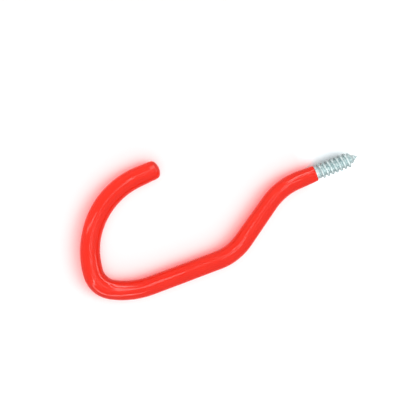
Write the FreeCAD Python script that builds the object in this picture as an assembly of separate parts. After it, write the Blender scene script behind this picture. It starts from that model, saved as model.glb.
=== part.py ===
import FreeCAD, Part
import math
import os

# Screw-in utility hook: one bent steel wire with a wood-screw end, under a dip-coated vinyl skin.
#
# The hook lies flat. The origin is on the screw's axis where the thread starts, +X points along the screw
# to its tip, the wire's centre line lies in the plane z = 0, and +Z is up from the surface it lies on.
# All lengths are in millimetres and all angles in degrees.

# The wire and its bends, in order from the thread back to the hook's free end
wire_diameter = 6.35
shank_run = 10.5
offset_bend_radius = 31.5
offset_bend_angle = 33.0
offset_run = 22.5
base_bend_radius = 26.0
base_bend_angle = 34.5
base_run = 34.5
heel_lead_radius = 41.0
heel_lead_angle = 27.5
heel_radius = 11.5
heel_angle = 67.0
arm_radius = 39.5
arm_angle = 82.5
tip_run = 9.0
wire_end_chamfer = 0.6

# The rolled wood-screw thread: broad crests raised above the wire, between narrow pressed-in roots
thread_pitch = 2.27
thread_length = 16.0
thread_crest_rise = 0.65
thread_root_depth = 0.4
thread_crest_width = 0.8
thread_root_width = 0.35
thread_run_in = 1.0
thread_run_out = 0.6

# The gimlet point, on which the thread dies away just short of the tip
point_length = 4.6
point_flat_diameter = 0.4
point_bare_length = 0.8

# The vinyl skin, thickest over the end that was dipped deepest
coat_arm_thickness = 1.8
coat_base_thickness = 1.4
coat_shank_thickness = 1.0
coat_end_thickness = 0.75
coat_end_gap = 1.2
coat_rim_radius = 0.35
coat_tip_cover = 2.0
coat_tip_crown_radius = 7.25
coat_tip_corner_radius = 2.2

wire_radius = wire_diameter / 2
root_radius = wire_radius - thread_root_depth
crest_radius = wire_radius + thread_crest_rise
point_flat_radius = point_flat_diameter / 2
point_tip_x = thread_length + point_length
thread_fade_x = point_tip_x - point_bare_length

ORIGIN = FreeCAD.Vector(0, 0, 0)
X_AXIS = FreeCAD.Vector(1, 0, 0)
Y_AXIS = FreeCAD.Vector(0, 1, 0)
Z_AXIS = FreeCAD.Vector(0, 0, 1)
FULL_TURN = 360
HALF_TURN = 180
QUARTER_TURN = 90


def turned(outline):
    """A solid of revolution about the local X axis, from (x, radius) corners."""
    corners = [FreeCAD.Vector(x, radius, 0) for x, radius in outline]
    face = Part.Face(Part.makePolygon(corners + corners[:1]))
    return face.revolve(ORIGIN, X_AXIS, FULL_TURN)


def first_rim(solid):
    """The circular edge at which a turned solid starts along its axis."""
    circles = [edge for edge in solid.Edges if isinstance(edge.Curve, Part.Circle)]
    return min(circles, key=lambda edge: edge.Curve.Center.x)


def straight(length, start_radius, end_radius):
    """A straight stretch along local X, with the step to the next stretch."""
    outline = [(0, 0), (0, start_radius), (length, end_radius), (length, 0)]
    step = FreeCAD.Placement(X_AXIS * length, FreeCAD.Rotation())
    return turned(outline), step


def bend(bend_radius, angle, section_radius):
    """A bent stretch that leaves local X to its left, or to its right if the angle is negative."""
    centre = Y_AXIS * math.copysign(bend_radius, angle)
    ring = Part.Wire(Part.Circle(ORIGIN, X_AXIS, section_radius).toShape())
    step = FreeCAD.Placement(ORIGIN, FreeCAD.Rotation(Z_AXIS, angle), centre)
    return Part.Face(ring).revolve(centre, Z_AXIS, angle), step


def hook_bends(section_radius):
    """The three bends of the hook itself: the easy lead, the tight heel and the long arm."""
    return [
        bend(heel_lead_radius, -heel_lead_angle, section_radius),
        bend(heel_radius, -heel_angle, section_radius),
        bend(arm_radius, -arm_angle, section_radius),
    ]


def joined(start_x, stretches, end_piece):
    """One solid from stretches laid end to end, from the screw's axis to the hook's free end."""
    station = FreeCAD.Placement(X_AXIS * start_x, FreeCAD.Rotation(Z_AXIS, HALF_TURN))
    pieces = []
    for piece, step in stretches:
        piece.Placement = station
        pieces.append(piece)
        station = station.multiply(step)
    end_piece.Placement = station
    return end_piece.multiFuse(pieces).removeSplitter().Solids[0]


def bent_wire():
    """The plain round wire from the thread's start to its cropped free end."""
    stretches = [
        straight(shank_run, wire_radius, wire_radius),
        bend(offset_bend_radius, offset_bend_angle, wire_radius),
        straight(offset_run, wire_radius, wire_radius),
        bend(base_bend_radius, -base_bend_angle, wire_radius),
        straight(base_run, wire_radius, wire_radius),
        *hook_bends(wire_radius),
    ]
    cropped_end = turned([
        (0, 0),
        (0, wire_radius),
        (tip_run - wire_end_chamfer, wire_radius),
        (tip_run, wire_radius - wire_end_chamfer),
        (tip_run, 0),
    ])
    return joined(0, stretches, cropped_end)


def point_radius(x):
    """The radius of the point's bare cone at a place along the screw."""
    return point_flat_radius + (root_radius - point_flat_radius) * (point_tip_x - x) / point_length


def root_bar():
    """The bar under the thread: the wire necked down to the root, and the bare point."""
    return turned([
        (0, 0),
        (0, wire_radius),
        (thread_run_out, root_radius),
        (thread_length, root_radius),
        (point_tip_x, point_flat_radius),
        (point_tip_x, 0),
    ])


def outer_form():
    """What the thread is trimmed to: a run-in cone, a sleeve clear of the crest, and the point's cone."""
    clearance = thread_crest_rise
    run_in_slope = thread_crest_rise / thread_run_in
    point_slope = (crest_radius - point_radius(thread_fade_x)) / (thread_fade_x - thread_length)
    return turned([
        (0, 0),
        (0, wire_radius),
        (thread_run_in + clearance / run_in_slope, crest_radius + clearance),
        (thread_length - clearance / point_slope, crest_radius + clearance),
        (thread_fade_x, point_radius(thread_fade_x)),
        (thread_fade_x, 0),
    ])


def thread_ridge():
    """The helical ridge: sloping flanks that seat below the root, on a web that reaches into the bar."""
    half_crest = thread_crest_width / 2
    half_base = (thread_pitch - thread_root_width) / 2
    flank_slope = (half_base - half_crest) / (crest_radius - root_radius)
    seat_depth = thread_root_depth / 2
    seat_radius = root_radius - seat_depth
    half_seat = half_base + flank_slope * seat_depth
    web_radius = (point_radius(thread_fade_x) + point_flat_radius) / 2
    outline = [
        (web_radius, -half_seat),
        (seat_radius, -half_seat),
        (crest_radius, -half_crest),
        (crest_radius, half_crest),
        (seat_radius, half_seat),
        (web_radius, half_seat),
    ]
    corners = [FreeCAD.Vector(radius, 0, along) for radius, along in outline]
    profile = Part.makePolygon(corners + corners[:1])
    cylinder_angle = 0
    helix = Part.makeLongHelix(thread_pitch, point_tip_x + thread_pitch, root_radius, cylinder_angle)
    ridge = Part.Wire(helix).makePipeShell([profile], True, True)
    ridge.rotate(ORIGIN, Y_AXIS, QUARTER_TURN)
    ridge.translate(X_AXIS * -thread_pitch / 2)
    return ridge.common(outer_form())


def coat_start():
    """The coat's blunt end ring and the shank behind it, with the outer rim slightly rounded."""
    length = shank_run - coat_end_gap
    sleeve, step = straight(length, wire_radius + coat_end_thickness, wire_radius + coat_shank_thickness)
    rim_radius = min(coat_rim_radius, coat_end_thickness / 2)
    return sleeve.makeFillet(rim_radius, [first_rim(sleeve)]), step


def coat_tip(radius):
    """The closed end over the wire: a low round crown that turns into the side over a smaller corner."""
    apex_x = tip_run + coat_tip_cover
    crown_centre_x = apex_x - coat_tip_crown_radius
    corner_out = radius - coat_tip_corner_radius
    between_centres = coat_tip_crown_radius - coat_tip_corner_radius
    corner_angle = math.asin(corner_out / between_centres)
    corner_x = crown_centre_x + between_centres * math.cos(corner_angle)

    def on_crown(angle):
        return FreeCAD.Vector(crown_centre_x + coat_tip_crown_radius * math.cos(angle),
                              coat_tip_crown_radius * math.sin(angle), 0)

    def on_corner(angle):
        return FreeCAD.Vector(corner_x + coat_tip_corner_radius * math.cos(angle),
                              corner_out + coat_tip_corner_radius * math.sin(angle), 0)

    side_angle = math.pi / 2
    foot = FreeCAD.Vector(0, radius, 0)
    corner = [on_corner(angle) for angle in (side_angle, (side_angle + corner_angle) / 2, corner_angle)]
    crown = [on_crown(angle) for angle in (corner_angle, corner_angle / 2, 0)]
    outline = Part.Wire([
        Part.makeLine(ORIGIN, foot),
        Part.makeLine(foot, corner[0]),
        Part.Arc(*corner).toShape(),
        Part.Arc(*crown).toShape(),
        Part.makeLine(crown[-1], ORIGIN),
    ])
    return Part.Face(outline).revolve(ORIGIN, X_AXIS, FULL_TURN)


def vinyl_coating(wire):
    """The skin: an outer form that thickens towards the arm, less the wire inside it."""
    shank_section = wire_radius + coat_shank_thickness
    base_section = wire_radius + coat_base_thickness
    arm_section = wire_radius + coat_arm_thickness
    stretches = [
        coat_start(),
        bend(offset_bend_radius, offset_bend_angle, shank_section),
        straight(offset_run, shank_section, base_section),
        bend(base_bend_radius, -base_bend_angle, base_section),
        straight(base_run, base_section, arm_section),
        *hook_bends(arm_section),
    ]
    return joined(-coat_end_gap, stretches, coat_tip(arm_section)).cut(wire).Solids[0]


def save(node, solid):
    """Write one named piece and say what it measures."""
    box = solid.optimalBoundingBox()
    low = [round(value, 2) for value in (box.XMin, box.YMin, box.ZMin)]
    high = [round(value, 2) for value in (box.XMax, box.YMax, box.ZMax)]
    print(node, "valid:", solid.isValid(), "volume:", round(solid.Volume, 1), "from", low, "to", high)
    solid.exportStep("parts/" + node + ".step")


os.makedirs("parts", exist_ok=True)
wire_alone = bent_wire()
screw_end = root_bar().fuse(thread_ridge())
save("steel_rod", wire_alone.fuse(screw_end).removeSplitter().Solids[0])
save("vinyl_coating", vinyl_coating(wire_alone))
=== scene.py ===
# %% [markdown]
# # A vinyl-dipped screw hook
#
# The object is a garage utility hook: one quarter-inch steel wire, cold-bent into an offset shank, a
# straight base and a curled arm, with a wood-screw thread rolled on one end. The bend was dipped in red
# vinyl, so a soft glossy skin covers all but the screw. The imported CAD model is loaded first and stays
# where it is, as the frame. The two pieces made here stand for its two solids, and add what CAD leaves
# plain: the uneven dipped skin, a smooth rolled thread, and the finishes.

# %% Load the frame
import math

import bpy
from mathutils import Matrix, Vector


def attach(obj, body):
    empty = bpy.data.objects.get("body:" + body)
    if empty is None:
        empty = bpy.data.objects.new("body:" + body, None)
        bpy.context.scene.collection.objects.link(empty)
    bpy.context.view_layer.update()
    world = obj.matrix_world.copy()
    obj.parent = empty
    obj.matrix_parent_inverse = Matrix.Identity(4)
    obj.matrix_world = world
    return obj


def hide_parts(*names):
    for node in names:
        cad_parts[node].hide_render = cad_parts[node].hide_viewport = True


MM = 0.001


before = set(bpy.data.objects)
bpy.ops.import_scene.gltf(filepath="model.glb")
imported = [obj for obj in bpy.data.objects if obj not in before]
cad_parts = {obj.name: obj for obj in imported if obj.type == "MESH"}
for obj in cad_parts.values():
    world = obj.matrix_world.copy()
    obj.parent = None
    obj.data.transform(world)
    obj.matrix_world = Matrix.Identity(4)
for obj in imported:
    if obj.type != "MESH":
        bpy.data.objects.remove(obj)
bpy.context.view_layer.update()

# %% [markdown]
# ## Two helpers
#
# Geometry Nodes and materials are both node trees. Adding a node is always the same three steps, so one
# small function does it: make the node, set its plain settings, and fill its inputs with a value or with
# another node's output. An input goes by its label, or by its number where that is shorter or where
# labels repeat. In a Math node, 0, 1 and 2 are the terms. In a Map Range, 1 and 2 are the ends of what it
# reads, and 3 and 4 are what it gives at those ends. In a Mix, 6 and 7 are two colours, and 2 and 3 are
# two plain numbers.
#
# The second helper turns a colour written as sRGB hex, as a designer would pick it, into the linear
# numbers that shaders compute with. Its constants are those of the sRGB standard.

# %% Helpers for nodes and colours
def add_node(tree, kind, inputs=None, **settings):
    """Add one node with its settings, and fill its inputs with values or with other nodes' outputs."""
    node = tree.nodes.new(kind)
    for name, value in settings.items():
        setattr(node, name, value)
    for socket, value in (inputs or {}).items():
        if isinstance(value, bpy.types.NodeSocket):
            tree.links.new(value, node.inputs[socket])
        else:
            node.inputs[socket].default_value = value
    return node


def linear(hex_colour):
    """An sRGB hex colour as linear red, green, blue and alpha."""
    channels = [int(hex_colour[start:start + 2], 16) / 255 for start in (1, 3, 5)]
    return [c / 12.92 if c <= 0.04045 else ((c + 0.055) / 1.055) ** 2.4 for c in channels] + [1.0]


print("mid grey in linear light:", [round(value, 3) for value in linear("#808080")])

# %% [markdown]
# ## The bent wire's line
#
# On the bench the wire started straight, was given its thread, and was then bent. The scene does the
# same: each piece is made straight along X, and one Geometry Nodes tree then wraps it along the bent
# line. The line is a walk over the runs and bends that the wire was given, with the sizes that the CAD
# model was made from. A left bend has a positive angle, seen from above as the walk goes from the screw's
# tip to the free end.

# %% Walk along the runs and bends
WIRE_RADIUS = 6.35 / 2 * MM
THREAD_LENGTH = 16.0 * MM
POINT_LENGTH = 4.6 * MM
TIP_X = THREAD_LENGTH + POINT_LENGTH
SHANK_RUN = 10.5 * MM
WIRE_END_RUN = 9.0 * MM
VINYL_TIP_COVER = 2.0 * MM
WALK_STEP = 0.25 * MM

# Each stretch has a name, the length of a run, and the radius and degrees of a bend
STRETCHES = [
    ("screw and shank", TIP_X + SHANK_RUN, None, 0),
    ("offset bend", None, 31.5 * MM, 33.0),
    ("offset run", 22.5 * MM, None, 0),
    ("base bend", None, 26.0 * MM, -34.5),
    ("base run", 34.5 * MM, None, 0),
    ("heel lead", None, 41.0 * MM, -27.5),
    ("heel", None, 11.5 * MM, -67.0),
    ("arm", None, 39.5 * MM, -82.5),
    ("free end", WIRE_END_RUN + VINYL_TIP_COVER, None, 0),
]


def walk_the_wire():
    """Points along the bent wire's centre line, from the screw's tip, and the walk's length."""
    place = Vector((TIP_X, 0, 0))
    heading = math.pi
    points = [place.copy()]
    walked = 0
    for name, run, bend_radius, degrees in STRETCHES:
        length = run if run else bend_radius * math.radians(abs(degrees))
        steps = round(length / WALK_STEP)
        half_turn = math.radians(degrees) / steps / 2
        for _ in range(steps):
            heading += half_turn
            place += Vector((math.cos(heading), math.sin(heading), 0)) * length / steps
            heading += half_turn
            points.append(place.copy())
        walked += length
        print(f"{name:16s} ends {(walked - TIP_X) / MM:6.1f} mm behind the thread's start")
    return points, walked


wire_points, walk_length = walk_the_wire()
APEX_BACK = walk_length - TIP_X
WIRE_END_BACK = APEX_BACK - VINYL_TIP_COVER

wire_line_data = bpy.data.curves.new("wire_line", "CURVE")
wire_line_data.dimensions = "3D"
wire_spline = wire_line_data.splines.new("POLY")
wire_spline.points.add(len(wire_points) - 1)
for spline_point, point in zip(wire_spline.points, wire_points):
    spline_point.co = (*point, 1)
wire_line = bpy.data.objects.new("wire_line", wire_line_data)
bpy.context.scene.collection.objects.link(wire_line)

# %% [markdown]
# ## From a tree to a plain mesh
#
# Every Geometry Nodes tree here starts with its named inputs and ends the same way: instances made real,
# smooth shading, and the material set. A modifier's input goes by its socket's identifier, not by its
# label. Once a piece has its trees, it is settled: what Blender worked out becomes a plain mesh and the
# modifiers go. The frame needs plain meshes, and a settled piece can't change by accident later.

# %% Start and finish a tree, and settle a piece
def start_tree(name, inputs):
    """A new Geometry Nodes tree with named inputs, and the sockets that bring them in."""
    tree = bpy.data.node_groups.new(name, "GeometryNodeTree")
    tree.interface.new_socket("Geometry", in_out="INPUT", socket_type="NodeSocketGeometry")
    tree.interface.new_socket("Geometry", in_out="OUTPUT", socket_type="NodeSocketGeometry")
    for socket_name, socket_type in inputs:
        tree.interface.new_socket(socket_name, in_out="INPUT", socket_type=socket_type)
    source = add_node(tree, "NodeGroupInput").outputs
    return tree, source


def finish_tree(tree, geometry, material):
    """End a tree in real geometry with its material set."""
    real = add_node(tree, "GeometryNodeRealizeInstances", {"Geometry": geometry})
    smooth = add_node(tree, "GeometryNodeSetShadeSmooth", {"Geometry": real.outputs[0]})
    painted = add_node(tree, "GeometryNodeSetMaterial", {
        "Geometry": smooth.outputs[0], "Material": material})
    add_node(tree, "NodeGroupOutput", {"Geometry": painted.outputs[0]})
    print(f"{tree.name}: {len(tree.nodes)} nodes")


def add_tree(piece, tree, values):
    """Put a tree on a piece as a modifier, and set its inputs by their sockets' identifiers."""
    modifier = piece.modifiers.new(tree.name, "NODES")
    modifier.node_group = tree
    for socket in tree.interface.items_tree:
        if socket.name in values:
            modifier[socket.identifier] = values[socket.name]


def settle(piece):
    """Turn a piece and its modifiers into one plain mesh."""
    bpy.context.view_layer.update()
    evaluated = piece.evaluated_get(bpy.context.evaluated_depsgraph_get())
    mesh = bpy.data.meshes.new_from_object(evaluated)
    piece.modifiers.clear()
    piece.data = mesh
    print(f"{piece.name}: {len(mesh.vertices)} points, {len(mesh.polygons)} faces")


# %% [markdown]
# ## A tree that bends a straight piece along the wire
#
# A curve modifier could do this too, but a tree shows each step. It samples the line at each point's
# distance from the screw's tip, and rebuilds the point from the line's place, its sideways direction and
# Z. Before that it can raise and lower the skin by a slow noise, because a dipped coat runs and sags a
# little as it sets. The noise fades to nothing on the bore, which must stay true to the wire.

# %% Build the bending tree
# The noise seldom leaves these two levels, so they become the full swing of the waves
NOISE_LOW = 0.25
NOISE_HIGH = 0.75

# How far out the waves reach their full height, in bore radii
FULL_WAVES_AT = 1.18


def dip_waves(tree, source, place):
    """The piece with its outside pushed in and out by a slow noise, and with its bore left alone."""
    per_wave = add_node(tree, "ShaderNodeMath", {0: 1.0, 1: source["Wave Length"]}, operation="DIVIDE")
    noise = add_node(tree, "ShaderNodeTexNoise", {
        "Vector": place, "Scale": per_wave.outputs[0], "Detail": 1.0, "W": source["Wave Seed"]},
        noise_dimensions="4D")
    swing = add_node(tree, "ShaderNodeMapRange", {
        "Value": noise.outputs[0], 1: NOISE_LOW, 2: NOISE_HIGH, 3: -1.0, 4: 1.0})
    across = add_node(tree, "ShaderNodeVectorMath", {0: place, 1: (0, 1, 1)}, operation="MULTIPLY")
    out = add_node(tree, "ShaderNodeVectorMath", {0: across.outputs[0]}, operation="LENGTH")
    full_at = add_node(tree, "ShaderNodeMath", {0: source["Bore Radius"], 1: FULL_WAVES_AT},
                       operation="MULTIPLY")
    off_bore = add_node(tree, "ShaderNodeMapRange", {
        "Value": out.outputs["Value"], 1: source["Bore Radius"], 2: full_at.outputs[0], 3: 0.0, 4: 1.0})
    height = add_node(tree, "ShaderNodeMath", {0: swing.outputs[0], 1: source["Wave Height"]},
                      operation="MULTIPLY")
    masked = add_node(tree, "ShaderNodeMath", {0: height.outputs[0], 1: off_bore.outputs[0]},
                      operation="MULTIPLY")
    normal = add_node(tree, "GeometryNodeInputNormal").outputs[0]
    lift = add_node(tree, "ShaderNodeVectorMath", {0: normal, "Scale": masked.outputs[0]},
                    operation="SCALE")
    return add_node(tree, "GeometryNodeSetPosition", {
        "Geometry": source["Geometry"], "Offset": lift.outputs[0]}).outputs[0]


def wrapped_place(tree, source, place):
    """Where a point goes: X becomes distance along the line, Y goes sideways from it, and Z stays up."""
    parts = add_node(tree, "ShaderNodeSeparateXYZ", {0: place}).outputs
    walked = add_node(tree, "ShaderNodeMath", {0: source["Line Start X"], 1: parts["X"]},
                      operation="SUBTRACT")
    line = add_node(tree, "GeometryNodeObjectInfo", {"Object": source["Wire Line"]}).outputs["Geometry"]
    on_line = add_node(tree, "GeometryNodeSampleCurve", {"Curves": line, "Length": walked.outputs[0]},
                       mode="LENGTH").outputs
    side = add_node(tree, "ShaderNodeVectorMath", {0: on_line["Tangent"], 1: (0, 0, 1)},
                    operation="CROSS_PRODUCT")
    sideways = add_node(tree, "ShaderNodeVectorMath", {0: side.outputs[0], "Scale": parts["Y"]},
                        operation="SCALE")
    upright = add_node(tree, "ShaderNodeCombineXYZ", {"Z": parts["Z"]})
    beside = add_node(tree, "ShaderNodeVectorMath", {0: on_line["Position"], 1: sideways.outputs[0]})
    return add_node(tree, "ShaderNodeVectorMath", {0: beside.outputs[0], 1: upright.outputs[0]}).outputs[0]


def bending_tree():
    """The tree that gives a straight piece its dip waves and lays it along the wire."""
    tree, source = start_tree("bend_along_wire", [
        ("Wire Line", "NodeSocketObject"),
        ("Line Start X", "NodeSocketFloat"),
        ("Bore Radius", "NodeSocketFloat"),
        ("Wave Height", "NodeSocketFloat"),
        ("Wave Length", "NodeSocketFloat"),
        ("Wave Seed", "NodeSocketFloat"),
        ("Material", "NodeSocketMaterial"),
    ])
    place = add_node(tree, "GeometryNodeInputPosition").outputs[0]
    bent = add_node(tree, "GeometryNodeSetPosition", {
        "Geometry": dip_waves(tree, source, place), "Position": wrapped_place(tree, source, place)})
    finish_tree(tree, bent.outputs[0], source["Material"])
    return tree


bend_along_wire = bending_tree()

# %% [markdown]
# ## Red vinyl
#
# The skin is plasticised PVC, dipped as a liquid and oven-cured. It is a strong warm red right through,
# and its surface is smooth but not flat: a gloss whose reflections wander with the sags of the dip. Soft
# vinyl mirrors less than a hard plastic, so its specular level is set low. A slow noise varies the red
# and the gloss, and a finer bump gives the slight orange peel that breaks up a highlight.

# %% Mix the vinyl
SAG_SIZE = 9.0 * MM
SAG_NOISE_SPAN = (0.3, 0.7)
ORANGE_PEEL_SIZE = 2.4 * MM
ORANGE_PEEL_DEPTH = 0.08 * MM
ORANGE_PEEL_STRENGTH = 0.25
VINYL_REDS = ("#D81D0A", "#E0240F")
VINYL_ROUGHNESS = (0.06, 0.1)
VINYL_IOR = 1.4
VINYL_SPECULAR_LEVEL = 0.33


def start_material(name):
    """A new material with an empty node tree."""
    material = bpy.data.materials.new(name)
    material.use_nodes = True
    material.node_tree.nodes.clear()
    return material, material.node_tree


def finish_material(material, shader):
    """Join a shader to the material's output."""
    tree = material.node_tree
    add_node(tree, "ShaderNodeOutputMaterial", {"Surface": shader.outputs[0]})
    print(f"{material.name}: {len(tree.nodes)} nodes")
    return material


def dipped_red_vinyl():
    """Dipped and cured soft PVC: to the eye a deep, even red under a gloss that wanders."""
    material, tree = start_material("dipped_red_vinyl")
    place = add_node(tree, "ShaderNodeTexCoord").outputs["Object"]
    sag = add_node(tree, "ShaderNodeTexNoise", {
        "Vector": place, "Scale": 1 / SAG_SIZE, "Detail": 2.0}).outputs[0]
    peel = add_node(tree, "ShaderNodeTexNoise", {
        "Vector": place, "Scale": 1 / ORANGE_PEEL_SIZE, "Detail": 1.0}).outputs[0]
    red = add_node(tree, "ShaderNodeMix", {
        "Factor": sag, 6: linear(VINYL_REDS[0]), 7: linear(VINYL_REDS[1])}, data_type="RGBA")
    gloss = add_node(tree, "ShaderNodeMapRange", {
        "Value": sag, 1: SAG_NOISE_SPAN[0], 2: SAG_NOISE_SPAN[1], 3: VINYL_ROUGHNESS[0],
        4: VINYL_ROUGHNESS[1]})
    skin = add_node(tree, "ShaderNodeBump", {
        "Height": peel, "Strength": ORANGE_PEEL_STRENGTH, "Distance": ORANGE_PEEL_DEPTH})
    vinyl = add_node(tree, "ShaderNodeBsdfPrincipled", {
        "Base Color": red.outputs[2], "Roughness": gloss.outputs[0], "IOR": VINYL_IOR,
        "Specular IOR Level": VINYL_SPECULAR_LEVEL, "Normal": skin.outputs[0]})
    return finish_material(material, vinyl)


red_vinyl = dipped_red_vinyl()

# %% [markdown]
# ## The vinyl skin's section
#
# A dipped skin is thin where the wire came out of the bath first and thick where it hung lowest. So its
# section is drawn once, as distance behind the thread's start against radius: along the bore, round the
# blunt end ring, back along the outside at a thickness that eases from station to station, and over the
# closed end. The stations are places along the hook where the skin's width was measured on the
# photograph, less the wire inside it.

# %% Draw the skin's section
VINYL_START = 1.2 * MM
RIM_RADIUS = 0.35 * MM
RIM_STEPS = 5
WIRE_END_CHAMFER = 0.6 * MM
TIP_CORNER_RADIUS = 2.6 * MM
TIP_CORNER_STEPS = 10
TIP_CROWN_RADIUS = 7.25 * MM
TIP_CROWN_STEPS = 8
RING_STEP = 0.6 * MM
TO_THE_SCREW = 180
OUTWARD = 90
TO_THE_FREE_END = 0

# Millimetres behind the thread's start, and the skin's thickness there in millimetres
VINYL_THICKNESS = [
    (1.2, 0.73), (4.0, 0.84), (10.5, 1.08), (30.0, 1.15), (51.0, 1.38),
    (72.0, 1.37), (100.0, 1.42), (119.0, 1.68), (128.0, 1.98), (137.0, 1.84),
    (150.0, 1.68), (172.0, 1.84), (188.0, 1.8), (198.0, 1.55), (206.0, 1.3),
]


def eased(stations, at):
    """A value between given stations, easing in and out of each."""
    for (near, low), (far, high) in zip(stations, stations[1:]):
        if at <= far:
            share = max(0.0, (at - near) / (far - near))
            return low + (high - low) * share * share * (3 - 2 * share)
    return stations[-1][1]


def skin_radius(back):
    """The skin's outer radius at a distance behind the thread's start."""
    return WIRE_RADIUS + eased(VINYL_THICKNESS, back / MM) * MM


def along(start, end):
    """Even steps from one distance to another, without the last."""
    steps = max(1, round(abs(end - start) / RING_STEP))
    return [start + (end - start) * step / steps for step in range(steps)]


def arc(centre_back, centre_out, radius, first, last, steps):
    """Points of a section's arc, from one angle to another, in degrees from the way to the free end."""
    angles = [math.radians(first + (last - first) * step / steps) for step in range(steps + 1)]
    return [(centre_back + radius * math.cos(a), centre_out + radius * math.sin(a)) for a in angles]


def skin_section():
    """The skin's closed outline, as (distance behind the thread's start, radius), from pole to pole."""
    bore_bottom = WIRE_END_BACK - WIRE_END_CHAMFER
    section = [(WIRE_END_BACK, 0), (WIRE_END_BACK, WIRE_RADIUS - WIRE_END_CHAMFER)]
    section += [(back, WIRE_RADIUS) for back in along(bore_bottom, VINYL_START)]
    section.append((VINYL_START, WIRE_RADIUS))
    rim_back = VINYL_START + RIM_RADIUS
    rim_out = skin_radius(VINYL_START) - RIM_RADIUS
    section += arc(rim_back, rim_out, RIM_RADIUS, TO_THE_SCREW, OUTWARD, RIM_STEPS)
    corner_out = skin_radius(APEX_BACK) - TIP_CORNER_RADIUS
    between = TIP_CROWN_RADIUS - TIP_CORNER_RADIUS
    meet = math.degrees(math.asin(corner_out / between))
    crown_back = APEX_BACK - TIP_CROWN_RADIUS
    corner_back = crown_back + between * math.cos(math.radians(meet))
    section += [(back, skin_radius(back)) for back in along(rim_back, corner_back)[1:]]
    section += arc(corner_back, corner_out, TIP_CORNER_RADIUS, OUTWARD, meet, TIP_CORNER_STEPS)
    section += arc(crown_back, 0, TIP_CROWN_RADIUS, meet, TO_THE_FREE_END, TIP_CROWN_STEPS)[1:-1]
    section.append((APEX_BACK, 0))
    return section


skin_outline = skin_section()
print("skin section:", len(skin_outline), "points")

# %% [markdown]
# ## The vinyl skin
#
# Turning the section about the wire gives a closed skin with no loose edges, which is then wrapped along
# the line. A lathe would do the same to a bar: one ring of points for each place on the section, joined
# to the next ring by faces, and a single point where the section meets the axis. Blender's own Spin
# doubles the points at the seam and the poles, and they would have to be merged, so the rings are counted
# round here instead.

# %% Turn the skin and bend it
SKIN_POINTS_ROUND = 72
WAVE_HEIGHT = 0.04 * MM
WAVE_LENGTH = 11.0 * MM
WAVE_SEED = 4.0


def turned_mesh(name, section, points_round):
    """A straight turned mesh along X from a section, with one point where the section meets the axis."""
    points, faces, rings = [], [], []
    for back, out in section:
        count = points_round if out > 0 else 1
        rings.append(range(len(points), len(points) + count))
        for step in range(count):
            turn = math.tau * step / points_round
            points.append((-back, out * math.cos(turn), out * math.sin(turn)))
    for ring, after in zip(rings, rings[1:]):
        for step in range(points_round):
            beside = (step + 1) % points_round
            corners = [ring[step % len(ring)], ring[beside % len(ring)],
                       after[beside % len(after)], after[step % len(after)]]
            faces.append(list(dict.fromkeys(corners)))
    mesh = bpy.data.meshes.new(name)
    mesh.from_pydata(points, [], faces)
    mesh.flip_normals()
    return mesh


def new_piece(name, mesh):
    """A mesh as an object of the scene."""
    piece = bpy.data.objects.new(name, mesh)
    bpy.context.scene.collection.objects.link(piece)
    return piece


vinyl_skin = new_piece("vinyl_skin", turned_mesh("vinyl_skin", skin_outline, SKIN_POINTS_ROUND))
add_tree(vinyl_skin, bend_along_wire, {
    "Wire Line": wire_line, "Line Start X": TIP_X, "Bore Radius": WIRE_RADIUS,
    "Wave Height": WAVE_HEIGHT, "Wave Length": WAVE_LENGTH, "Wave Seed": WAVE_SEED,
    "Material": red_vinyl})
settle(vinyl_skin)
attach(vinyl_skin, "root")
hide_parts("vinyl_coating")

# %% [markdown]
# ## Bright zinc plate
#
# The screw end is electroplated zinc with a clear, slightly blue passivate. Under soft light it is a pale
# blue-grey metal. Its colour is painted a little lighter on the crests and darker in the roots: painted
# light on the ridges and painted shade in the hollows of the thread. The thread's own height, kept on the
# mesh as an attribute, tells the material where crest and root are. A noise gives the mottled grain of the
# plate. The real grain is finer than the picture can show, so it is drawn coarse enough to be seen.

# %% Mix the zinc
PLATE_GRAIN = 0.8 * MM
GRAIN_RELIEF = 0.12 * MM
GRAIN_RELIEF_STRENGTH = 0.6
# The darker zinc goes in the roots as painted shade and the lighter on the crests as painted light; grain
# noise moves between them
ZINC_TONES = ("#98B2B5", "#EEF9F8")
ZINC_ROUGHNESS = (0.42, 0.2)
# How far the crests are painted towards the lighter zinc: painted light on the ridges, painted shade left
# in the roots
CREST_PAINTED_LIGHT = 0.15

# These two stretch the middle levels of the noise over both tones
GRAIN_CONTRAST = 2.6
GRAIN_OFFSET = -0.88


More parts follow.
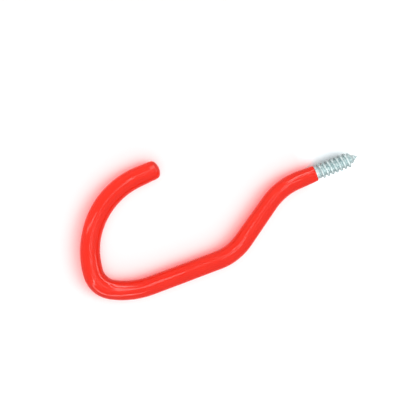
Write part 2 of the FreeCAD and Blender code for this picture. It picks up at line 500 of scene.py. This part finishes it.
def bright_zinc_plate():
    """Bright zinc plate over rolled steel: to the eye a pale, mottled metal with no sharp mirror image,
    painted darker in the roots as shade.
    """
    material, tree = start_material("bright_zinc_plate")
    place = add_node(tree, "ShaderNodeTexCoord").outputs["Object"]
    crest = add_node(tree, "ShaderNodeAttribute", attribute_name="thread_height").outputs["Fac"]
    grain = add_node(tree, "ShaderNodeTexNoise", {
        "Vector": place, "Scale": 1 / PLATE_GRAIN, "Detail": 3.0}).outputs[0]
    mottled = add_node(tree, "ShaderNodeMath", {0: grain, 1: GRAIN_CONTRAST, 2: GRAIN_OFFSET},
                       operation="MULTIPLY_ADD")
    # Grain noise, plus painted shade in the roots and painted light on the crests
    grain_and_painted_shade = add_node(tree, "ShaderNodeMath", {0: crest, 1: CREST_PAINTED_LIGHT, 2: mottled.outputs[0]},
                      operation="MULTIPLY_ADD", use_clamp=True).outputs[0]
    tone = add_node(tree, "ShaderNodeMix", {
        "Factor": grain_and_painted_shade, 6: linear(ZINC_TONES[0]), 7: linear(ZINC_TONES[1])}, data_type="RGBA")
    polish = add_node(tree, "ShaderNodeMapRange", {
        "Value": grain_and_painted_shade, 3: ZINC_ROUGHNESS[0], 4: ZINC_ROUGHNESS[1]})
    relief = add_node(tree, "ShaderNodeBump", {
        "Height": grain, "Strength": GRAIN_RELIEF_STRENGTH, "Distance": GRAIN_RELIEF})
    zinc = add_node(tree, "ShaderNodeBsdfPrincipled", {
        "Base Color": tone.outputs[2], "Metallic": 1.0, "Roughness": polish.outputs[0],
        "Normal": relief.outputs[0]})
    return finish_material(material, zinc)


zinc_plate = bright_zinc_plate()

# %% [markdown]
# ## The rolled thread
#
# A rolled thread is a rule: one section repeated along a helix. A grid is the natural start in Geometry
# Nodes, with one direction running round the screw turn after turn, and the other across one pitch. Each
# grid point is moved to its place on the helix, at a radius between root and crest. Because neighbouring
# turns share their edge points, merging by distance closes the ribbon into one skin. Holding X between
# the thread's start and the tip folds the spare grid onto two plain rings, so the ends come out square
# and can be joined to the wire. A small disc closes the blunt tip of the point.

# %% Set the thread's sizes
THREAD_PITCH = 2.27 * MM
ROOT_RADIUS = WIRE_RADIUS - 0.4 * MM
CREST_RISE = 1.05 * MM
HALF_CREST = 0.32 * MM
HALF_RIDGE = 1.0 * MM
THREAD_RUN_IN = 0.8 * MM
POINT_BARE_LENGTH = 0.8 * MM
POINT_TIP_RADIUS = 0.2 * MM
TURNS = math.ceil(TIP_X / THREAD_PITCH) + 1
SCREW_POINTS_ROUND = 64
ACROSS_PITCH = 20
print(f"thread: {2 * ROOT_RADIUS / MM:.2f} mm over the roots, "
      f"{2 * (ROOT_RADIUS + CREST_RISE) / MM:.2f} mm over the crests, {TURNS} turns on the grid")

# %% Work out the thread's grid, helix and height
CREST_MIDDLE = 0.5


def thread_grid(tree, source):
    """A grid that keeps, as attributes, each point's share of all the turns and of the pitch."""
    grid = add_node(tree, "GeometryNodeMeshGrid", {
        "Size X": source["Turns"], "Size Y": 1.0, "Vertices X": source["Round Points"],
        "Vertices Y": source["Across Points"]}).outputs
    shares = add_node(tree, "ShaderNodeSeparateXYZ", {0: grid["UV Map"]}).outputs
    mesh = grid["Mesh"]
    kept = []
    for name, axis in (("turn_share", "X"), ("pitch_share", "Y")):
        mesh = add_node(tree, "GeometryNodeStoreNamedAttribute", {
            "Geometry": mesh, "Name": name, "Value": shares[axis]}).outputs[0]
        kept.append(add_node(tree, "GeometryNodeInputNamedAttribute", {"Name": name}).outputs[0])
    return mesh, *kept


def helix_place(tree, source, turn_share, across):
    """Each point's X and its angle round the screw, with the first turn behind the thread's start."""
    turned = add_node(tree, "ShaderNodeMath", {0: turn_share, 1: source["Turns"]},
                      operation="MULTIPLY").outputs[0]
    passed = add_node(tree, "ShaderNodeMath", {0: turned, 1: across}, operation="ADD")
    shifted = add_node(tree, "ShaderNodeMath", {0: passed.outputs[0], 1: 1.0}, operation="SUBTRACT")
    free_x = add_node(tree, "ShaderNodeMath", {0: shifted.outputs[0], 1: source["Pitch"]},
                      operation="MULTIPLY")
    x = add_node(tree, "ShaderNodeClamp", {"Value": free_x.outputs[0], "Max": source["Tip X"]}).outputs[0]
    angle = add_node(tree, "ShaderNodeMath", {0: turned, 1: math.tau}, operation="MULTIPLY").outputs[0]
    return x, angle


def crest_share(tree, source, x, across):
    """Height from root 0 to crest 1: a rounded ridge that rises at the start and dies on the point."""
    from_crest = add_node(tree, "ShaderNodeMath", {0: across, 1: CREST_MIDDLE}, operation="SUBTRACT")
    off_crest = add_node(tree, "ShaderNodeMath", {0: from_crest.outputs[0]}, operation="ABSOLUTE")
    beside = add_node(tree, "ShaderNodeMath", {0: off_crest.outputs[0], 1: source["Pitch"]},
                      operation="MULTIPLY")
    ridge = add_node(tree, "ShaderNodeMapRange", {
        "Value": beside.outputs[0], 1: source["Half Crest"], 2: source["Half Ridge"], 3: 1.0, 4: 0.0},
        interpolation_type="SMOOTHSTEP")
    rise_in = add_node(tree, "ShaderNodeMapRange", {"Value": x, 1: 0.0, 2: source["Run In"]})
    die_out = add_node(tree, "ShaderNodeMapRange", {
        "Value": x, 1: source["Thread Length"], 2: source["Fade Out X"], 3: 1.0, 4: 0.0})
    full = add_node(tree, "ShaderNodeMath", {0: rise_in.outputs[0], 1: die_out.outputs[0]},
                    operation="MINIMUM")
    return add_node(tree, "ShaderNodeMath", {0: ridge.outputs[0], 1: full.outputs[0]},
                    operation="MULTIPLY").outputs[0]


def root_radius(tree, source, x):
    """The bar under the thread: necked down from the wire at the start, and tapered on the point."""
    bar = add_node(tree, "ShaderNodeMapRange", {
        "Value": x, 1: source["Thread Length"], 2: source["Tip X"], 3: source["Root Radius"],
        4: source["Tip Radius"]})
    necked = add_node(tree, "ShaderNodeMath", {0: source["Wire Radius"], 1: source["Root Radius"]},
                      operation="SUBTRACT")
    neck = add_node(tree, "ShaderNodeMapRange", {
        "Value": x, 1: 0.0, 2: source["Run In"], 3: necked.outputs[0], 4: 0.0})
    return add_node(tree, "ShaderNodeMath", {0: bar.outputs[0], 1: neck.outputs[0]},
                    operation="ADD").outputs[0]


# %% Build the thread tree
MERGE_DISTANCE = 0.004 * MM


def point_on_screw(tree, x, angle, radius):
    """A place from a distance along the screw, an angle round it and a radius."""
    cosine = add_node(tree, "ShaderNodeMath", {0: angle}, operation="COSINE")
    sine = add_node(tree, "ShaderNodeMath", {0: angle}, operation="SINE")
    y = add_node(tree, "ShaderNodeMath", {0: radius, 1: cosine.outputs[0]}, operation="MULTIPLY")
    z = add_node(tree, "ShaderNodeMath", {0: radius, 1: sine.outputs[0]}, operation="MULTIPLY")
    return add_node(tree, "ShaderNodeCombineXYZ", {"X": x, "Y": y.outputs[0], "Z": z.outputs[0]}).outputs[0]


def thread_tree():
    """The tree that adds a rolled thread and a blunt tip to the open end of a wire."""
    tree, source = start_tree("rolled_thread", [
        ("Pitch", "NodeSocketFloat"),
        ("Turns", "NodeSocketFloat"),
        ("Round Points", "NodeSocketInt"),
        ("Across Points", "NodeSocketInt"),
        ("Points In Turn", "NodeSocketInt"),
        ("Wire Radius", "NodeSocketFloat"),
        ("Root Radius", "NodeSocketFloat"),
        ("Tip Radius", "NodeSocketFloat"),
        ("Crest Rise", "NodeSocketFloat"),
        ("Half Crest", "NodeSocketFloat"),
        ("Half Ridge", "NodeSocketFloat"),
        ("Run In", "NodeSocketFloat"),
        ("Thread Length", "NodeSocketFloat"),
        ("Fade Out X", "NodeSocketFloat"),
        ("Tip X", "NodeSocketFloat"),
        ("Material", "NodeSocketMaterial"),
    ])
    flat, turn_share, across = thread_grid(tree, source)
    x, angle = helix_place(tree, source, turn_share, across)
    share = crest_share(tree, source, x, across)
    radius = add_node(tree, "ShaderNodeMath", {
        0: share, 1: source["Crest Rise"], 2: root_radius(tree, source, x)}, operation="MULTIPLY_ADD")
    marked = add_node(tree, "GeometryNodeStoreNamedAttribute", {
        "Geometry": flat, "Name": "thread_height", "Value": share})
    rolled = add_node(tree, "GeometryNodeSetPosition", {
        "Geometry": marked.outputs[0], "Position": point_on_screw(tree, x, angle, radius.outputs[0])})
    wire = add_node(tree, "GeometryNodeStoreNamedAttribute", {
        "Geometry": source["Geometry"], "Name": "thread_height", "Value": 1.0})
    disc = add_node(tree, "GeometryNodeMeshCircle", {
        "Vertices": source["Points In Turn"], "Radius": source["Tip Radius"]}, fill_type="TRIANGLE_FAN")
    at_tip = add_node(tree, "ShaderNodeCombineXYZ", {"X": source["Tip X"]})
    blunt = add_node(tree, "GeometryNodeTransform", {
        "Geometry": disc.outputs[0], "Translation": at_tip.outputs[0], "Rotation": (0, math.pi / 2, 0)})
    joined = add_node(tree, "GeometryNodeJoinGeometry")
    for piece in (rolled, wire, blunt):
        tree.links.new(piece.outputs[0], joined.inputs[0])
    closed = add_node(tree, "GeometryNodeMergeByDistance", {
        "Geometry": joined.outputs[0], "Distance": MERGE_DISTANCE})
    finish_tree(tree, closed.outputs[0], source["Material"])
    return tree


rolled_thread = thread_tree()

# %% [markdown]
# ## The steel wire
#
# The wire itself is plain: a cropped and chamfered free end inside the vinyl, and a round bar up to the
# thread. Its section stops open at the thread's start, with as many points round as the thread has, so
# that the two meet point to point and merge into a single closed skin.

# %% Turn the wire, roll the thread and bend it
def wire_section():
    """The wire's outline from the thread's start to its free end."""
    chamfer_back = WIRE_END_BACK - WIRE_END_CHAMFER
    section = [(back, WIRE_RADIUS) for back in along(0, chamfer_back)]
    section.append((chamfer_back, WIRE_RADIUS))
    section.append((WIRE_END_BACK, WIRE_RADIUS - WIRE_END_CHAMFER))
    section.append((WIRE_END_BACK, 0))
    return section


steel_wire = new_piece("steel_wire", turned_mesh("steel_wire", wire_section(), SCREW_POINTS_ROUND))
add_tree(steel_wire, rolled_thread, {
    "Pitch": THREAD_PITCH, "Turns": float(TURNS), "Round Points": TURNS * SCREW_POINTS_ROUND + 1,
    "Across Points": ACROSS_PITCH + 1, "Points In Turn": SCREW_POINTS_ROUND,
    "Wire Radius": WIRE_RADIUS, "Root Radius": ROOT_RADIUS, "Tip Radius": POINT_TIP_RADIUS,
    "Crest Rise": CREST_RISE, "Half Crest": HALF_CREST, "Half Ridge": HALF_RIDGE,
    "Run In": THREAD_RUN_IN, "Thread Length": THREAD_LENGTH, "Fade Out X": TIP_X - POINT_BARE_LENGTH,
    "Tip X": TIP_X, "Material": zinc_plate})
add_tree(steel_wire, bend_along_wire, {
    "Wire Line": wire_line, "Line Start X": TIP_X, "Bore Radius": WIRE_RADIUS,
    "Wave Height": 0.0, "Wave Length": WAVE_LENGTH, "Wave Seed": WAVE_SEED,
    "Material": zinc_plate})
settle(steel_wire)
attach(steel_wire, "root")
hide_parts("steel_rod")
bpy.data.objects.remove(wire_line)

# %% [markdown]
# ## The floor
#
# The hook lies on a matt white sheet, which shows only its soft shadow. A photographer exposes such a
# ground past white. Lamps bright enough for that would bleach the hook, so instead the sheet is more than
# white on rays that come from the camera, and plain white on the rays that light the hook. What the hook
# mirrors is the sheet a little darker, as one that lies partly in shadow.
#
# In the photograph the shadow beside the vinyl is pink and the one beside the screw is a cool grey. Most
# of the pink is light that the red skin throws back, which the renderer finds by itself. The sheet's
# colour for the camera paints in the rest: a painted red bounce in the shadow beside the vinyl and a
# painted cool tint in the shadow beside the screw, changing over where the skin ends.

# %% Lay the floor
FLOOR_HALF_WIDTH = 3.0
SHEET_ALBEDO = 0.9
SHEET_IN_REFLECTIONS = 0.68
SCREW_COLOUR_TO_X = 2.0 * MM
VINYL_COLOUR_FROM_X = -8.0 * MM

# Painted light: the red-heavy colour paints the vinyl's red bounce into its shadow, the bluish one a cool
# tint into the screw's
# Linear red, green, blue and alpha, past white because only the camera sees them
SHEET_BY_SCREW = (1.17, 1.24, 1.27, 1.0)
SHEET_BY_VINYL = (2.1, 0.96, 0.96, 1.0)


def white_sheet():
    """Matt white paper: to the eye a ground without gloss, past white but for the hook's shadow."""
    material, tree = start_material("white_sheet")
    ray = add_node(tree, "ShaderNodeLightPath").outputs
    mirrored = add_node(tree, "ShaderNodeMath", {0: ray["Is Glossy Ray"], 1: ray["Is Transmission Ray"]},
                        operation="MAXIMUM")
    to_the_hook = add_node(tree, "ShaderNodeMapRange", {
        "Value": mirrored.outputs[0], 3: SHEET_ALBEDO, 4: SHEET_IN_REFLECTIONS})
    place = add_node(tree, "ShaderNodeTexCoord").outputs["Object"]
    x = add_node(tree, "ShaderNodeSeparateXYZ", {0: place}).outputs["X"]
    # The sheet's colour for the camera: painted red bounce in the shadow by the vinyl, a painted cool tint
    # by the screw
    by_vinyl = add_node(tree, "ShaderNodeMapRange", {
        "Value": x, 1: SCREW_COLOUR_TO_X, 2: VINYL_COLOUR_FROM_X}, interpolation_type="SMOOTHSTEP")
    to_the_camera = add_node(tree, "ShaderNodeMix", {
        "Factor": by_vinyl.outputs[0], 6: SHEET_BY_SCREW, 7: SHEET_BY_VINYL}, data_type="RGBA")
    white = add_node(tree, "ShaderNodeMix", {
        "Factor": ray["Is Camera Ray"], 6: to_the_hook.outputs[0], 7: to_the_camera.outputs[2]},
        data_type="RGBA")
    sheet = add_node(tree, "ShaderNodeBsdfDiffuse", {"Color": white.outputs[2]})
    return finish_material(material, sheet)


floor_z = min(corner.co.z for corner in vinyl_skin.data.vertices)
floor_corners = [(across * FLOOR_HALF_WIDTH, deep * FLOOR_HALF_WIDTH, floor_z)
                 for across, deep in ((-1, -1), (1, -1), (1, 1), (-1, 1))]
floor_mesh = bpy.data.meshes.new("floor")
floor_mesh.from_pydata(floor_corners, [], [range(len(floor_corners))])
floor_mesh.materials.append(white_sheet())
floor = new_piece("floor", floor_mesh)
print("floor at", round(floor_z / MM, 3), "mm")

# %% [markdown]
# ## The camera
#
# The photograph looks straight down on the hook, turned so that the screw points up and to the right. The
# scale is 0.49 mm for each pixel of a picture 401 wide and 415 high. A short telephoto half a metre up
# gives the same mild perspective.

# %% Place the camera
PICTURE_HEIGHT = 415
MM_PER_PIXEL = 0.49
CAMERA_HEIGHT = 0.49
SENSOR_HEIGHT = 24.0
SCREW_ANGLE = math.radians(22.16)
PICTURE_CENTRE = Vector((-59.75, 5.7, 0)) * MM

camera_data = bpy.data.cameras.new("camera")
camera_data.sensor_fit = "VERTICAL"
camera_data.sensor_height = SENSOR_HEIGHT
camera_data.lens = SENSOR_HEIGHT * CAMERA_HEIGHT / (PICTURE_HEIGHT * MM_PER_PIXEL * MM)
camera = bpy.data.objects.new("camera", camera_data)
camera.location = PICTURE_CENTRE + Vector((0, 0, CAMERA_HEIGHT))
camera.rotation_euler = (0, 0, -SCREW_ANGLE)
bpy.context.scene.collection.objects.link(camera)
bpy.context.scene.camera = camera
print("lens", round(camera_data.lens, 1), "mm")

# %% [markdown]
# ## The lamps
#
# The skin shows a few faint streaks, the images of lamps, and nearly all of them lie in bends, because a
# bend mirrors much more of a ceiling than a straight stretch does. So tubes stand where the streaks point
# to: short ones overhead for those on shank, base and arm, and long ones far out for the two lines that
# follow the heel, one on its inside and one on its outside. They show in the vinyl's gloss and light
# nothing else. A fill from the upper left, linked to the vinyl too, opens its shaded side without washing
# out the shadow on the sheet, and shows in no gloss.

# %% Set the lamps
TUBE_HEIGHT = 0.5
FILL_PLACE = (-0.7, 0.42, 0.35)
FILL_SIZE = (1.2, 0.8)
FILL_WATTS = 8.5

# Each tube has a name, its two ends right of and above the middle of the picture in metres, its width in
# metres and its radiance
TUBES = [
    ("tube_over_shank", (0.03, 0.115), (0.165, -0.06), 0.02, 7.0),
    ("tube_over_base", (0.115, -0.125), (0.0, 0.01), 0.02, 7.0),
    ("tube_over_arm", (-0.045, 0.0), (-0.15, 0.175), 0.02, 7.0),
    ("tube_over_heel", (-0.077, -0.082), (-0.063, 0.184), 0.015, 9.0),
    ("tube_up", (-0.063, 0.184), (0.203, 0.54), 0.045, 12.0),
    ("tube_far_up", (0.203, 0.54), (0.5, 1.25), 0.12, 12.0),
    ("tube_low_left", (-0.2, -0.098), (-1.0, -0.85), 0.035, 10.0),
    ("tube_inside_heel", (1.5, 0.13), (0.15, 1.5), 0.6, 10.0),
    ("tube_inside_lead", (0.15, 1.5), (-0.12, 0.4), 0.12, 10.0),
    ("tube_outside_heel", (-1.2, -0.95), (-0.45, -1.5), 0.65, 11.0),
    ("tube_outside_lead", (-0.45, -1.5), (0.06, -0.6), 0.18, 9.0),
    ("tube_left", (-0.23, 0.04), (-1.01, 0.15), 0.04, 6.0),
]


def on_picture(right, up, height):
    """A place in metres right of, above and over the middle of the picture."""
    turned = Vector((right * math.cos(SCREW_ANGLE) + up * math.sin(SCREW_ANGLE),
                     up * math.cos(SCREW_ANGLE) - right * math.sin(SCREW_ANGLE), height))
    return PICTURE_CENTRE + turned


def vinyl_lamp(name, place, turn, length, width, watts):
    """A flat soft lamp that lights the vinyl only."""
    data = bpy.data.lights.new(name, "AREA")
    data.shape = "RECTANGLE"
    data.size = length
    data.size_y = width
    data.energy = watts
    lamp = bpy.data.objects.new(name, data)
    lamp.location = place
    lamp.rotation_euler = turn
    lamp.light_linking.receiver_collection = vinyl_only
    bpy.context.scene.collection.objects.link(lamp)
    print(name, "at", [round(value, 2) for value in place])
    return lamp


vinyl_only = bpy.data.collections.new("vinyl_only")
vinyl_only.objects.link(vinyl_skin)

for name, start, end, width, radiance in TUBES:
    run = Vector(end) - Vector(start)
    middle = (Vector(start) + Vector(end)) / 2
    facing_down = (0, 0, math.atan2(run.y, run.x) - SCREW_ANGLE)
    watts = radiance * math.pi * run.length * width
    tube = vinyl_lamp(name, on_picture(*middle, TUBE_HEIGHT), facing_down, run.length, width, watts)
    tube.visible_diffuse = False

fill_place = on_picture(*FILL_PLACE)
facing_hook = (PICTURE_CENTRE - fill_place).to_track_quat("-Z", "Y").to_euler()
vinyl_fill = vinyl_lamp("vinyl_fill", fill_place, facing_hook, *FILL_SIZE, FILL_WATTS)
vinyl_fill.visible_glossy = False

# %% [markdown]
# ## The room
#
# The photograph was lit softly from the right and a little below, so the shadow falls to the upper left.
# Two round bright patches of the room give that: a small strong one to the right, and a wide weak one
# nearly overhead. A glossy skin would show such patches as hard white spots, so the rays that come off a
# gloss see a calmer room, held between two levels.

# %% Light the room
ROOM_LEVEL = 0.21
MIRRORED_LEVELS = (1.08, 1.2)

# Each patch has its direction as right, up and height in the picture, its half angle in degrees and its
# strength
BRIGHT_PATCHES = [
    ((0.691, -0.069, 0.719), 20.1, 5.3),
    ((0.306, -0.322, 0.896), 60.6, 1.7),
]

world = bpy.data.worlds.new("white_room")
world.use_nodes = True
bpy.context.scene.world = world
room = world.node_tree
room.nodes.clear()
look = add_node(room, "ShaderNodeTexCoord").outputs["Generated"]
level = ROOM_LEVEL
for toward, half_angle, strength in BRIGHT_PATCHES:
    direction = (on_picture(*toward) - PICTURE_CENTRE).normalized()
    facing = add_node(room, "ShaderNodeVectorMath", {0: look, 1: direction}, operation="DOT_PRODUCT")
    patch = add_node(room, "ShaderNodeMapRange", {
        "Value": facing.outputs["Value"], 1: math.cos(math.radians(half_angle)), 2: 1.0, 3: 0.0,
        4: strength}, interpolation_type="SMOOTHSTEP")
    level = add_node(room, "ShaderNodeMath", {0: patch.outputs[0], 1: level}).outputs[0]
calm = add_node(room, "ShaderNodeClamp", {
    "Value": level, "Min": MIRRORED_LEVELS[0], "Max": MIRRORED_LEVELS[1]})
glossy = add_node(room, "ShaderNodeLightPath").outputs["Is Glossy Ray"]
seen = add_node(room, "ShaderNodeMix", {"Factor": glossy, 2: level, 3: calm.outputs[0]}, data_type="FLOAT")
sky = add_node(room, "ShaderNodeBackground", {"Color": linear("#FFFFFF"), "Strength": seen.outputs[0]})
add_node(room, "ShaderNodeOutputWorld", {"Surface": sky.outputs[0]})
bpy.context.scene.view_settings.view_transform = "Standard"
print(f"{world.name}: {len(BRIGHT_PATCHES)} bright patches, {len(room.nodes)} nodes")
